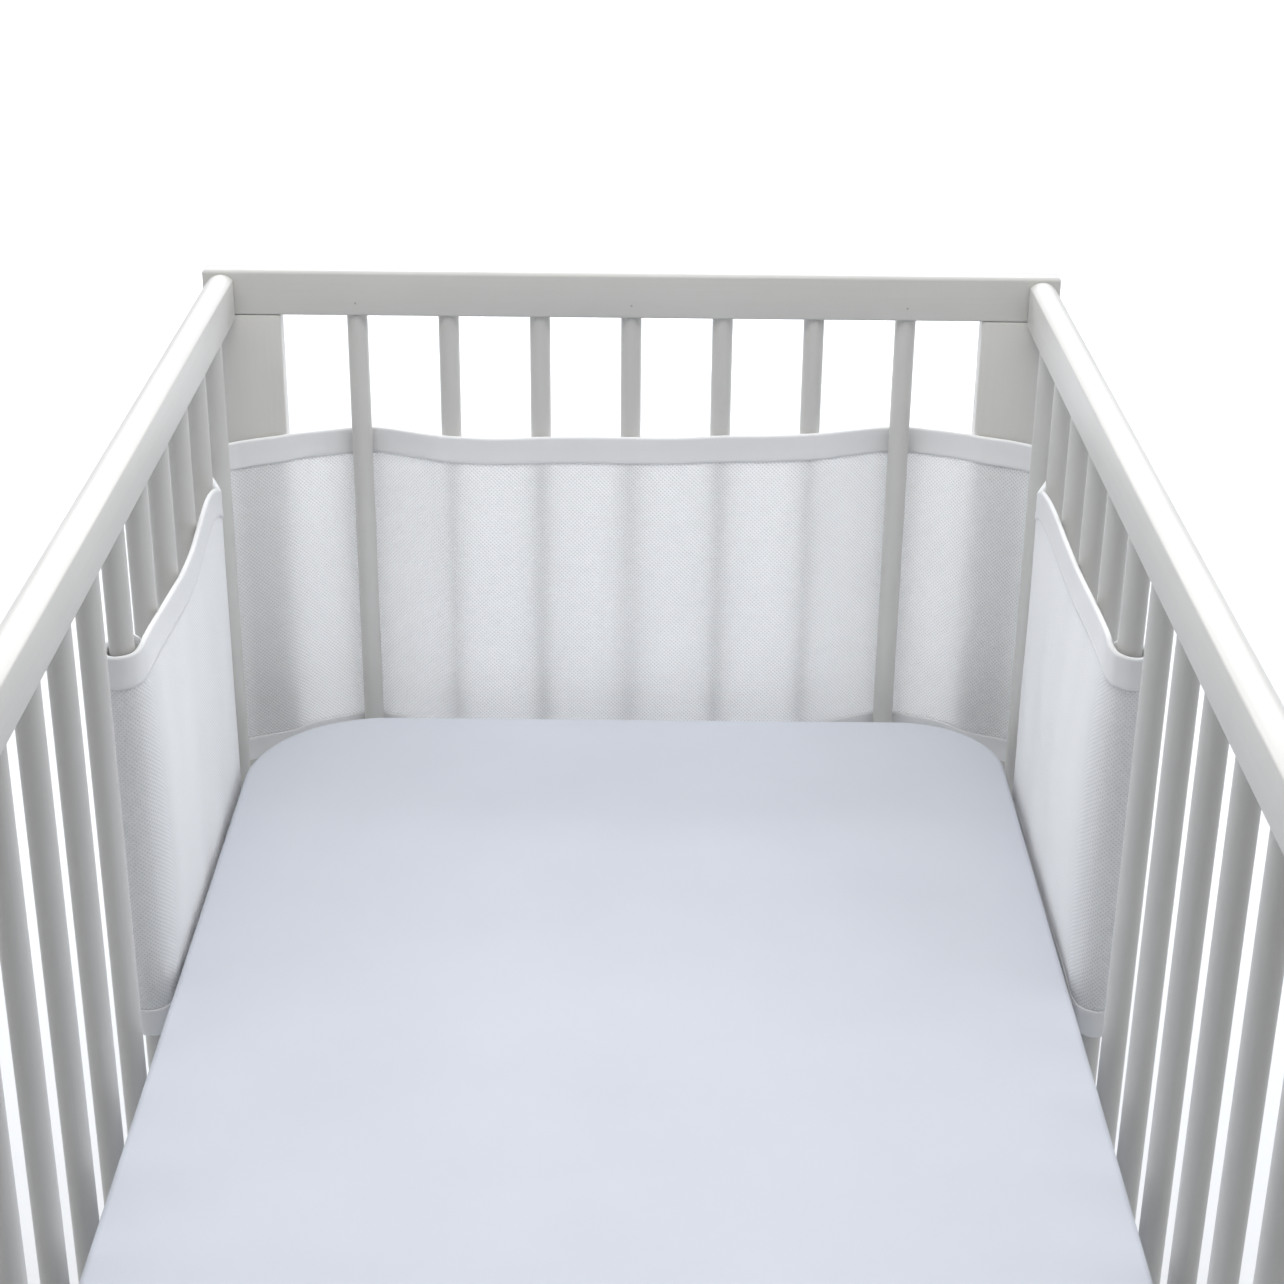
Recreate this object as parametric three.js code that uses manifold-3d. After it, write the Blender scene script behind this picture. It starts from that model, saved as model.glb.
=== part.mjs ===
// A breathable mesh crib bumper, threaded round the head of a plain slatted crib.
//
// The bumper is one long strip of mesh with a plain binding along its top edge and another along
// its hem. From the middle of the head end it runs before the inner slats, behind the outermost
// slat, before the corner post and outside the first slat of the crib's side. It comes in between
// the first and second slats, follows the inside of the next ones, and closes round the sixth.
//
// Millimetres. X runs across the crib, +Y points to its head, +Z is up, and the floor is Z = 0.

import * as THREE from 'three';
import { mergeVertices } from 'three/addons/utils/BufferGeometryUtils.js';
import Module from 'manifold-3d';

// ---- Driving dimensions: crib ----
const CRIB_HEIGHT = 840;
const INNER_LENGTH = 1204;
const INNER_WIDTH = 612;
const TIMBER = 19;
const END_RAIL = { length: 660, height: 35, round: 3 };
const SIDE_RAIL = { height: 36, dome: 4.5, drop: 3 };
const RAIL_FOOT_ROUND = 1.5;
const LOW_RAIL_TOP = 240;
const POST = { width: 53.5, round: 2.5 };
const SLAT = { diameter: 16, sides: 16 };
const END_SLATS = { count: 7, pitch: 71 };
const SIDE_SLATS = { count: 16, pitch: 72.6 };
const BASE = { top: 380, thickness: 18, width: 609 };
const MATTRESS = {
  width: 589.8, length: 1158, height: 99.7, edge: 7, headGap: 40,
  corners: { headRight: 76, headLeft: 104, footLeft: 84, footRight: 84 },
};
const JOINT_GAP = 0.3;

// ---- Driving dimensions: bumper ----
const BUMPER_DROP = 131;
const BUMPER_HEIGHT = 282;
const MESH_THICKNESS = 2.4;
const BINDING = { height: 22, cloth: 0.7, fold: 0.9, ease: 0.45 };
const CLEARANCE = 1.9;
const MESH_LEVELS = 4;
const STATION_TURN = THREE.MathUtils.degToRad(15);
const STATION_LENGTH = 42;
const ROUTE_SAMPLES = 2400;

// ---- Worked-out places ----
const headFace = INNER_LENGTH / 2;
const sideMiddle = INNER_WIDTH / 2 + TIMBER / 2;
const postMiddle = INNER_WIDTH / 2 + TIMBER - POST.width / 2;
const railTop = CRIB_HEIGHT;
const endRailFoot = railTop - END_RAIL.height;
const sideRailTop = railTop - SIDE_RAIL.drop;
const sideRailFoot = sideRailTop - SIDE_RAIL.height;
const firstSideSlat = (INNER_LENGTH - (SIDE_SLATS.count - 1) * SIDE_SLATS.pitch) / 2;
const sideSlatAlong = (number) => firstSideSlat + (number - 1) * SIDE_SLATS.pitch;
const bindingInside = MESH_THICKNESS / 2 + BINDING.ease;
const bindingOutside = bindingInside + BINDING.cloth;

// ---- Materials ----
const paint = { color: 0xe9e8e4, roughness: 0.38, metalness: 0 };
const cloth = { color: 0xf1f2f3, roughness: 0.95, metalness: 0 };
const tape = { color: 0xf4f4f3, roughness: 0.85, metalness: 0 };
const bedding = { color: 0xf3f3f5, roughness: 0.9, metalness: 0 };

const crib = new THREE.Group();

function add(name, geometry, look, position = [0, 0, 0], rotation = [0, 0, 0]) {
  const mesh = new THREE.Mesh(geometry, new THREE.MeshStandardMaterial(look));
  mesh.name = name;
  mesh.position.set(...position);
  mesh.rotation.set(...rotation);
  crib.add(mesh);
  return mesh;
}

// ---- Timber ----

// A rectangle about the origin, with its two upper and two lower corners rounded.
// The rounds are those of the upper right, upper left, lower left and lower right corners.
function roundedCorners(width, height, rounds) {
  const shape = new THREE.Shape();
  rounds.forEach((round, corner) => {
    const right = corner === 0 || corner === 3;
    const upper = corner < 2;
    shape.absarc(
      (right ? 1 : -1) * (width / 2 - round), (upper ? 1 : -1) * (height / 2 - round),
      round, corner * Math.PI / 2, (corner + 1) * Math.PI / 2,
    );
  });
  return shape;
}

function roundedRectangle(width, height, upperRound, lowerRound = upperRound) {
  return roundedCorners(width, height, [upperRound, upperRound, lowerRound, lowerRound]);
}

// A rectangle about the origin with rounded lower corners and a domed top.
function domedRectangle(width, height, dome, lowerRound) {
  const right = width / 2;
  const top = height / 2;
  const quarter = Math.PI / 2;
  const radius = (right ** 2 + dome ** 2) / (2 * dome);
  const spread = Math.asin(right / radius);
  const shape = new THREE.Shape();
  shape.absarc(0, top - radius, radius, quarter - spread, quarter + spread);
  shape.absarc(-right + lowerRound, -top + lowerRound, lowerRound, 2 * quarter, 3 * quarter);
  shape.absarc(right - lowerRound, -top + lowerRound, lowerRound, 3 * quarter, 4 * quarter);
  return shape;
}

// A circle about the origin, as a polygon whose corners lie on it.
function roundSection(diameter, sides) {
  const corners = [];
  for (let corner = 0; corner < sides; corner += 1) {
    const angle = ((corner + 0.5) / sides) * 2 * Math.PI;
    corners.push(new THREE.Vector2(Math.cos(angle), Math.sin(angle)).multiplyScalar(diameter / 2));
  }
  return new THREE.Shape(corners);
}

function bar(shape, length, curveSegments = 2) {
  const geometry = new THREE.ExtrudeGeometry(shape, { depth: length, bevelEnabled: false, curveSegments });
  return geometry.translate(0, 0, -length / 2);
}

// A bar along X keeps its section's height along Z, and so does a bar along Y.
function barAcross(shape, length) {
  return bar(shape, length).rotateX(Math.PI / 2).rotateZ(Math.PI / 2);
}

function barLengthways(shape, length, curveSegments) {
  return bar(shape, length, curveSegments).rotateX(Math.PI / 2);
}

const endRailShape = roundedRectangle(TIMBER, END_RAIL.height, END_RAIL.round, RAIL_FOOT_ROUND);
const sideRailShape = domedRectangle(TIMBER, SIDE_RAIL.height, SIDE_RAIL.dome, RAIL_FOOT_ROUND);
const lowRailShape = roundedRectangle(TIMBER, SIDE_RAIL.height, RAIL_FOOT_ROUND);
const postShape = roundedRectangle(POST.width, TIMBER, POST.round);
const slatShape = roundSection(SLAT.diameter, SLAT.sides);

const lowRailMiddle = LOW_RAIL_TOP - SIDE_RAIL.height / 2;
const endLowRailLength = 2 * (postMiddle - POST.width / 2 - JOINT_GAP);
const endSlatAcross = (number) => (number - (END_SLATS.count + 1) / 2) * END_SLATS.pitch;

function addPosts(end, along) {
  const height = endRailFoot - JOINT_GAP;
  for (const [hand, side] of [['left', -1], ['right', 1]]) {
    add(`${end}_post_${hand}`, bar(postShape, height), paint, [side * postMiddle, along, height / 2]);
  }
}

function addHeadEnd() {
  const along = headFace + TIMBER / 2;
  const slatFoot = LOW_RAIL_TOP + JOINT_GAP;
  const slatHead = endRailFoot - JOINT_GAP;
  const slat = bar(slatShape, slatHead - slatFoot);
  addPosts('head', along);
  add('head_top_rail', barAcross(endRailShape, END_RAIL.length), paint,
    [0, along, railTop - END_RAIL.height / 2]);
  add('head_low_rail', barAcross(lowRailShape, endLowRailLength), paint, [0, along, lowRailMiddle]);
  for (let number = 1; number <= END_SLATS.count; number += 1) {
    add(`head_slat_${number}`, slat, paint,
      [endSlatAcross(number), along, (slatHead + slatFoot) / 2]);
  }
}

// The foot end's rails and slats are glued up as one panel between its posts and under no load.
async function addFootEnd() {
  const wasm = await Module();
  wasm.setup();
  const solid = (geometry, x, z) => {
    const bare = geometry.clone().translate(x, 0, z);
    bare.deleteAttribute('normal');
    bare.deleteAttribute('uv');
    const welded = mergeVertices(bare);
    return new wasm.Manifold(new wasm.Mesh({
      numProp: 3,
      vertProperties: new Float32Array(welded.attributes.position.array),
      triVerts: new Uint32Array(welded.index.array),
    }));
  };
  const housing = SIDE_RAIL.height / 3;
  const slatFoot = LOW_RAIL_TOP - housing;
  const slatHead = endRailFoot + housing;
  const slat = bar(slatShape, slatHead - slatFoot);
  let panel = solid(barAcross(endRailShape, END_RAIL.length), 0, railTop - END_RAIL.height / 2);
  panel = panel.add(solid(barAcross(lowRailShape, endLowRailLength), 0, lowRailMiddle));
  for (let number = 1; number <= END_SLATS.count; number += 1) {
    panel = panel.add(solid(slat, endSlatAcross(number), (slatHead + slatFoot) / 2));
  }
  const result = panel.getMesh();
  const geometry = new THREE.BufferGeometry();
  geometry.setAttribute('position', new THREE.BufferAttribute(new Float32Array(result.vertProperties), 3));
  geometry.setIndex(new THREE.BufferAttribute(new Uint32Array(result.triVerts), 1));
  geometry.computeVertexNormals();
  const along = -headFace - TIMBER / 2;
  addPosts('foot', along);
  add('foot_panel', geometry, paint, [0, along, 0]);
}

function addSide(hand, side) {
  const length = INNER_LENGTH - 2 * JOINT_GAP;
  const slatFoot = LOW_RAIL_TOP + JOINT_GAP;
  const slatHead = sideRailFoot - JOINT_GAP;
  const slat = bar(slatShape, slatHead - slatFoot);
  const across = side * sideMiddle;
  add(`${hand}_top_rail`, barLengthways(sideRailShape, length, 5), paint,
    [across, 0, sideRailTop - SIDE_RAIL.height / 2]);
  add(`${hand}_low_rail`, barLengthways(lowRailShape, length), paint, [across, 0, lowRailMiddle]);
  for (let number = 1; number <= SIDE_SLATS.count; number += 1) {
    add(`${hand}_slat_${number}`, slat, paint,
      [across, headFace - sideSlatAlong(number), (slatHead + slatFoot) / 2]);
  }
}

// ---- Mattress and what carries it ----

// A plain board that fills the space between the posts.
function addBase() {
  const shape = roundedRectangle(BASE.width, INNER_LENGTH - 2 * JOINT_GAP, RAIL_FOOT_ROUND);
  add('mattress_base', bar(shape, BASE.thickness), paint, [0, 0, BASE.top - BASE.thickness / 2]);
}

function addMattress() {
  const shape = roundedCorners(
    MATTRESS.width - 2 * MATTRESS.edge,
    MATTRESS.length - 2 * MATTRESS.edge,
    Object.values(MATTRESS.corners).map((round) => round - MATTRESS.edge),
  );
  const geometry = new THREE.ExtrudeGeometry(shape, {
    depth: MATTRESS.height - 2 * MATTRESS.edge,
    bevelThickness: MATTRESS.edge,
    bevelSize: MATTRESS.edge,
    bevelSegments: 4,
    curveSegments: 8,
  });
  geometry.translate(0, 0, MATTRESS.edge);
  const middle = headFace - MATTRESS.headGap - MATTRESS.length / 2;
  add('mattress', geometry, bedding, [0, middle, BASE.top + JOINT_GAP]);
}

// ---- Bumper ----

// Where the strip's middle surface passes. Across is the distance from the crib's middle, along the
// distance from the head end's inner face towards the foot. Left and right are how far the top edge
// lies above its general level on each side, and slack is how far the strip stands off at half
// height, across (outwards) and along (footwards). Hem is how far the hem is drawn up, where it is.
const faceGap = CLEARANCE + bindingOutside;
const endSlatInset = (TIMBER - SLAT.diameter) / 2;
const beforeEndSlats = faceGap - endSlatInset + 0.1;
const behindEndSlats = -endSlatInset - SLAT.diameter - faceGap - 0.3;
const insideSlats = sideMiddle - SLAT.diameter / 2 - faceGap;
const outsideSlats = sideMiddle + SLAT.diameter / 2 + faceGap;
const secondEndSlat = 2 * END_SLATS.pitch;
const outerEndSlat = 3 * END_SLATS.pitch;
const postEdge = postMiddle - POST.width / 2;
const slatEdge = SLAT.diameter / 2;
const outerSlatNear = outerEndSlat - slatEdge - 2;
const outerSlatFar = outerEndSlat + slatEdge + 2;
const loopSlat = sideSlatAlong(6);
const loopRadius = slatEdge + faceGap + 0.3;
const loopTurn = loopRadius * Math.SQRT1_2;
const flapAcross = insideSlats + 2 * bindingOutside + JOINT_GAP;
const betweenSlats = (number) => sideSlatAlong(number) + SIDE_SLATS.pitch / 2;

const ROUTE = [
  { across: END_SLATS.pitch / 2, along: beforeEndSlats + 1, left: 0, right: 0, slack: [0, 2] },
  { across: END_SLATS.pitch, along: beforeEndSlats, left: -1, right: 1.5, slack: [0, 1] },
  { across: 1.5 * END_SLATS.pitch, along: beforeEndSlats + 1, left: -2, right: 2.5, slack: [0, 2] },
  { across: secondEndSlat, along: beforeEndSlats, left: -1, right: 4, slack: [0, 1] },
  { across: secondEndSlat + slatEdge + 3, along: beforeEndSlats, left: 0, right: 5, slack: [0, 1], hem: 3 },
  { across: outerSlatNear, along: behindEndSlats + 1.5, left: -1, right: 3, slack: [0, -2], hem: 6 },
  { across: outerEndSlat, along: behindEndSlats - 0.3, left: -2, right: 2, slack: [0, -1], hem: 7 },
  { across: outerSlatFar, along: behindEndSlats + 1.5, left: -2, right: 3, slack: [0, -1], hem: 7 },
  { across: postEdge - 5, along: faceGap - 1.7, left: 0, right: 5, slack: [0, 2], hem: 5 },
  { across: postEdge + 5, along: faceGap + 1.1, left: -1, right: 4, slack: [0, 3], hem: 2 },
  { across: postMiddle, along: faceGap + 1.5, left: -4, right: 1, slack: [-1, 5] },
  { across: outsideSlats - 14, along: faceGap + 3.5, left: -6, right: -1, slack: [-2, 5] },
  { across: outsideSlats - 3, along: faceGap + 10, left: -7, right: -2, slack: [-2, 3] },
  { across: outsideSlats, along: sideSlatAlong(1) - 2 * slatEdge, left: -5, right: -1, slack: [0, 0] },
  { across: outsideSlats, along: sideSlatAlong(1) + slatEdge, left: -4, right: 0, slack: [0, 0] },
  { across: (outsideSlats + insideSlats) / 2, along: betweenSlats(1) - 2, left: -3, right: 1, slack: [0, 2] },
  { across: insideSlats - 0.3, along: sideSlatAlong(2) - slatEdge + 2, left: -1, right: 4, slack: [0, 2] },
  { across: insideSlats - 0.3, along: sideSlatAlong(2) + slatEdge, left: 6, right: 10, slack: [-1, 1] },
  { across: insideSlats, along: betweenSlats(2), left: 10.5, right: 13.5, slack: [-2, 0] },
  { across: insideSlats, along: sideSlatAlong(3), left: 5.5, right: 14.5, slack: [-3, 0] },
  { across: insideSlats - 0.3, along: betweenSlats(3), left: -0.5, right: 14, slack: [-4, 0] },
  { across: insideSlats, along: sideSlatAlong(4), left: -2, right: 13, slack: [-4, 0] },
  { across: insideSlats - 0.3, along: betweenSlats(4), left: 1.5, right: 14.5, slack: [-5, 0] },
  { across: insideSlats - 0.5, along: sideSlatAlong(5), left: 5, right: 17, slack: [-5, 0] },
  { across: insideSlats - 0.7, along: betweenSlats(5), left: 9, right: 19, slack: [-5.5, 0] },
  { across: insideSlats - 1.5, along: loopSlat - slatEdge, left: 12, right: 20.5, slack: [-5.5, 0] },
  { across: insideSlats - 0.8, along: loopSlat + 1, left: 10.5, right: 17.5, slack: [-4.5, 1] },
  { across: sideMiddle - loopTurn - 0.4, along: loopSlat + loopTurn + 0.8, left: 9, right: 15.5, slack: [-2.5, 3] },
  { across: sideMiddle, along: loopSlat + loopRadius + 0.8, left: 8, right: 14, slack: [0.5, 3.5] },
  { across: sideMiddle + loopTurn, along: loopSlat + loopTurn + 0.4, left: 7, right: 13, slack: [1.5, 1.5] },
  { across: sideMiddle + loopRadius, along: loopSlat, left: 8, right: 14, slack: [0, 0] },
  { across: sideMiddle + loopTurn + 0.2, along: loopSlat - loopTurn - 0.4, left: 11, right: 15, slack: [0, -1] },
  { across: sideMiddle + 0.5, along: loopSlat - loopRadius - 1.2, left: 15, right: 17, slack: [0, -1.5] },
  { across: flapAcross + 2, along: loopSlat - loopRadius - 6, left: 10, right: 12, slack: [-1, -1] },
  { across: flapAcross + 0.7, along: loopSlat - loopRadius - 14, left: 3, right: 5, slack: [-4, 0] },
  { across: flapAcross + 0.8, along: loopSlat - loopRadius - 25, left: -3, right: -2, slack: [-4.5, 0] },
];

const topLevel = railTop - BUMPER_DROP;

function routePoint(row, side, share) {
  const rise = side < 0 ? row.left : row.right;
  const slackShare = 4 * share * (1 - share);
  const across = row.across + slackShare * row.slack[0];
  const along = row.along + slackShare * row.slack[1];
  const fall = share * (BUMPER_HEIGHT - (row.hem ?? 0));
  return new THREE.Vector3(side * across, headFace - along, topLevel + rise - fall);
}

function routeCurve(share) {
  const left = ROUTE.map((row) => routePoint(row, -1, share)).reverse();
  const right = ROUTE.map((row) => routePoint(row, 1, share));
  return new THREE.CatmullRomCurve3([...left, ...right], false, 'centripetal');
}

const topCurve = routeCurve(0);
const middleCurve = routeCurve(0.5);
const hemCurve = routeCurve(1);

// A point of the strip's middle surface, at a place on the route and a depth below the top edge.
function middleSurface(place, depth) {
  const share = depth / BUMPER_HEIGHT;
  const point = topCurve.getPoint(place).multiplyScalar((1 - share) * (1 - 2 * share));
  point.addScaledVector(middleCurve.getPoint(place), 4 * share * (1 - share));
  return point.addScaledVector(hemCurve.getPoint(place), share * (2 * share - 1));
}

function sideways(place, depth) {
  const step = 1e-4;
  const before = middleSurface(Math.max(place - step, 0), depth);
  const after = middleSurface(Math.min(place + step, 1), depth);
  return new THREE.Vector3(after.y - before.y, before.x - after.x, 0).normalize();
}

// Places close together where the strip bends, and further apart where it runs straight.
function chooseStations() {
  const places = [0];
  let cost = 0;
  let last = topCurve.getPoint(0);
  let lastWay = sideways(0, 0);
  for (let sample = 1; sample < ROUTE_SAMPLES; sample += 1) {
    const place = sample / ROUTE_SAMPLES;
    const point = topCurve.getPoint(place);
    const way = sideways(place, 0);
    cost += point.distanceTo(last) / STATION_LENGTH + way.angleTo(lastWay) / STATION_TURN;
    if (cost >= 1) {
      places.push(place);
      cost = 0;
    }
    last = point;
    lastWay = way;
  }
  places.push(1);
  return places;
}

const stations = chooseStations();

// Sweeps a closed section along the route. Its x is the distance off the middle surface, towards the
// outside of the crib, and its y the depth below the top edge.
function sweepStrip(section) {
  const positions = [];
  for (const place of stations) {
    for (const corner of section) {
      const point = middleSurface(place, corner.y);
      point.addScaledVector(sideways(place, corner.y), -corner.x);
      positions.push(point.x, point.y, point.z);
    }
  }
  const size = section.length;
  const index = [];
  for (let station = 0; station < stations.length - 1; station += 1) {
    for (let corner = 0; corner < size; corner += 1) {
      const next = (corner + 1) % size;
      const a = station * size + corner;
      const b = station * size + next;
      index.push(a, b + size, b, a, a + size, b + size);
    }
  }
  const lastStation = (stations.length - 1) * size;
  for (const [a, b, c] of THREE.ShapeUtils.triangulateShape(section, [])) {
    index.push(a, b, c);
    index.push(lastStation + a, lastStation + c, lastStation + b);
  }
  const geometry = new THREE.BufferGeometry();
  geometry.setAttribute('position', new THREE.Float32BufferAttribute(positions, 3));
  geometry.setIndex(index);
  geometry.computeVertexNormals();
  return geometry;
}

function addBumper() {
  const half = MESH_THICKNESS / 2;
  const meshTop = BINDING.fold + BINDING.ease;
  const meshHem = BUMPER_HEIGHT - meshTop;
  const bare = BUMPER_HEIGHT - 2 * BINDING.height;
  const level = (index) => BINDING.height + bare * index / (MESH_LEVELS - 1);
  const levels = [meshTop, ...Array.from({ length: MESH_LEVELS }, (_, index) => level(index)), meshHem];
  const meshSection = [
    ...levels.map((depth) => new THREE.Vector2(half, depth)),
    ...levels.map((depth) => new THREE.Vector2(-half, depth)).reverse(),
  ];
  // A strip of cloth folded over an edge. It is open towards the strip's middle.
  const bindingSection = (edge, way) => [
    new THREE.Vector2(-bindingOutside, edge + way * BINDING.height),
    new THREE.Vector2(-bindingInside, edge + way * BINDING.height),
    new THREE.Vector2(-bindingInside, edge + way * BINDING.fold),
    new THREE.Vector2(bindingInside, edge + way * BINDING.fold),
    new THREE.Vector2(bindingInside, edge + way * BINDING.height),
    new THREE.Vector2(bindingOutside, edge + way * BINDING.height),
    new THREE.Vector2(bindingOutside, edge),
    new THREE.Vector2(-bindingOutside, edge),
  ];
  add('bumper_mesh', sweepStrip(meshSection), cloth);
  add('bumper_top_binding', sweepStrip(bindingSection(0, 1).reverse()), tape);
  add('bumper_hem_binding', sweepStrip(bindingSection(BUMPER_HEIGHT, -1)), tape);
}

addHeadEnd();
await addFootEnd();
addSide('left', -1);
addSide('right', 1);
addBase();
addMattress();
addBumper();

// The origin is on the floor, under the middle of the whole.
const bounds = new THREE.Box3().setFromObject(crib);
crib.position.y = -(bounds.min.y + bounds.max.y) / 2;

export default crib;
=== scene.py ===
# Looks for the mesh crib bumper and the crib it is threaded round.
#
# Metres, unless a name ends in _MM. X runs across the crib, +Y points to its head, +Z is up.

import math

import bpy
import numpy as np
from mathutils import Matrix, Vector


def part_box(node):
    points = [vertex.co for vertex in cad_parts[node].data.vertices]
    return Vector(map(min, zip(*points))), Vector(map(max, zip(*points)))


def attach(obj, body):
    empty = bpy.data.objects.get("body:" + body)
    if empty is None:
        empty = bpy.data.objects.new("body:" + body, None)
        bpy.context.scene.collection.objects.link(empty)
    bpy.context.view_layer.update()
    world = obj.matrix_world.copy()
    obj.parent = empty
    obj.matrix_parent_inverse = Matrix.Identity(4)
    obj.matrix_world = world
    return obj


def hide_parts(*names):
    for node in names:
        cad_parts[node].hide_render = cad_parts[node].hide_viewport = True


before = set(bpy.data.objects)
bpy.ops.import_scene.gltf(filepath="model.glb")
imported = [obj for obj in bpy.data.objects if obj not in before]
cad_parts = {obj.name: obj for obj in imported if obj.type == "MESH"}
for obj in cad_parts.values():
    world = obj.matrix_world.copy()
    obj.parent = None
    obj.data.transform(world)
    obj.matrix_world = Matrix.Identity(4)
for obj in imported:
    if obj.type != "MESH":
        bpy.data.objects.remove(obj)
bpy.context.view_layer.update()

MM = 0.001
BODY = "root"

# ---- Camera: placed from the head end's inner face, the crib's middle and the rails' top ----
CAMERA_ACROSS_MM = 8.52
CAMERA_FROM_HEAD_MM = 1755.83
CAMERA_OVER_RAIL_MM = 504.95
CAMERA_PITCH = 24.912
CAMERA_YAW = 0.074
CAMERA_ROLL = 0.582
CAMERA_LENS = 66.03

head_face_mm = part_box("head_top_rail")[0][1] / MM
rail_top_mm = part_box("head_top_rail")[1][2] / MM


def make_camera():
    data = bpy.data.cameras.new("camera")
    data.lens = CAMERA_LENS
    data.sensor_width = 36
    data.clip_end = 100
    camera = bpy.data.objects.new("camera", data)
    bpy.context.collection.objects.link(camera)
    place = Vector((CAMERA_ACROSS_MM, head_face_mm - CAMERA_FROM_HEAD_MM, rail_top_mm + CAMERA_OVER_RAIL_MM))
    turn = (
        Matrix.Rotation(math.radians(-CAMERA_YAW), 4, "Z")
        @ Matrix.Rotation(math.radians(90 - CAMERA_PITCH), 4, "X")
        @ Matrix.Rotation(math.radians(CAMERA_ROLL), 4, "Z")
    )
    camera.matrix_world = Matrix.Translation(place * MM) @ turn
    bpy.context.scene.camera = camera


make_camera()

# ---- Node materials ----


class Net:
    """A material's node tree, with short ways to add the nodes that the looks use."""

    def __init__(self, name):
        self.material = bpy.data.materials.new(name)
        self.material.use_nodes = True
        self.tree = self.material.node_tree
        self.shader = self.tree.nodes["Principled BSDF"]

    def node(self, kind, **sockets):
        node = self.tree.nodes.new(kind)
        self.fill(node, sockets)
        return node

    def fill(self, node, sockets):
        for name, value in sockets.items():
            socket = node.inputs[int(name[1:]) if name[0] == "_" else name.replace("_", " ")]
            if isinstance(value, bpy.types.NodeSocket):
                self.tree.links.new(value, socket)
            else:
                socket.default_value = value

    def math(self, operation, first, second=0.0, third=0.0):
        node = self.node("ShaderNodeMath", _0=first, _1=second, _2=third)
        node.operation = operation
        return node.outputs[0]

    def place(self, source="Object", scale=(1, 1, 1), turn=(0, 0, 0)):
        coordinates = self.tree.nodes.new("ShaderNodeTexCoord")
        return self.node(
            "ShaderNodeMapping", Vector=coordinates.outputs[source], Scale=scale, Rotation=turn
        ).outputs[0]

    def noise(self, where, scale, detail=2.0, roughness=0.5):
        return self.node(
            "ShaderNodeTexNoise", Vector=where, Scale=scale, Detail=detail, Roughness=roughness
        ).outputs[0]

    def spread(self, value, low, high, from_low=0.0, from_high=1.0, smooth=False):
        node = self.node(
            "ShaderNodeMapRange",
            Value=value, From_Min=from_low, From_Max=from_high, To_Min=low, To_Max=high,
        )
        if smooth:
            node.interpolation_type = "SMOOTHSTEP"
        return node.outputs[0]

    def blend(self, share, first, second):
        node = self.tree.nodes.new("ShaderNodeMix")
        node.data_type = "RGBA"
        colours = [s for s in node.inputs if s.type == "RGBA"]
        self.fill(node, {"_0": share})
        for socket, value in zip(colours, (first, second)):
            if isinstance(value, bpy.types.NodeSocket):
                self.tree.links.new(value, socket)
            else:
                socket.default_value = (*value, 1)
        return next(s for s in node.outputs if s.type == "RGBA")

    def bump(self, height, distance, normal=None, strength=1.0):
        sockets = {"Height": height, "Distance": distance, "Strength": strength}
        if normal is not None:
            sockets["Normal"] = normal
        return self.node("ShaderNodeBump", **sockets).outputs[0]

    def finish(self, **sockets):
        self.fill(self.shader, sockets)
        return self.material


def painted_wood(name, along):
    """White semi-gloss paint: a little brushed along the piece, with faint grain and stipple under it."""
    net = Net(name)
    stretch = {"X": (0.03, 1, 1), "Y": (1, 0.03, 1), "Z": (1, 1, 0.03)}[along]
    drawn = net.place(scale=stretch)
    even = net.place()
    grain = net.noise(drawn, 260, 4, 0.6)
    stipple = net.noise(even, 900, 2)
    cloud = net.noise(even, 9, 3)
    colour = net.blend(net.spread(cloud, 0, 1, 0.3, 0.7), (0.636, 0.626, 0.600), (0.669, 0.659, 0.632))
    colour = net.blend(net.spread(grain, 0, 0.10, 0.45, 0.75), colour, (0.568, 0.558, 0.530))
    rough = net.math("ADD", net.spread(grain, 0.30, 0.44), net.spread(cloud, -0.03, 0.05))
    bump = net.bump(stipple, 0.00006)
    bump = net.bump(grain, 0.00018, bump)
    return net.finish(Base_Color=colour, Roughness=rough, Normal=bump)


EYELET_PITCH_MM = 3.1


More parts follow.
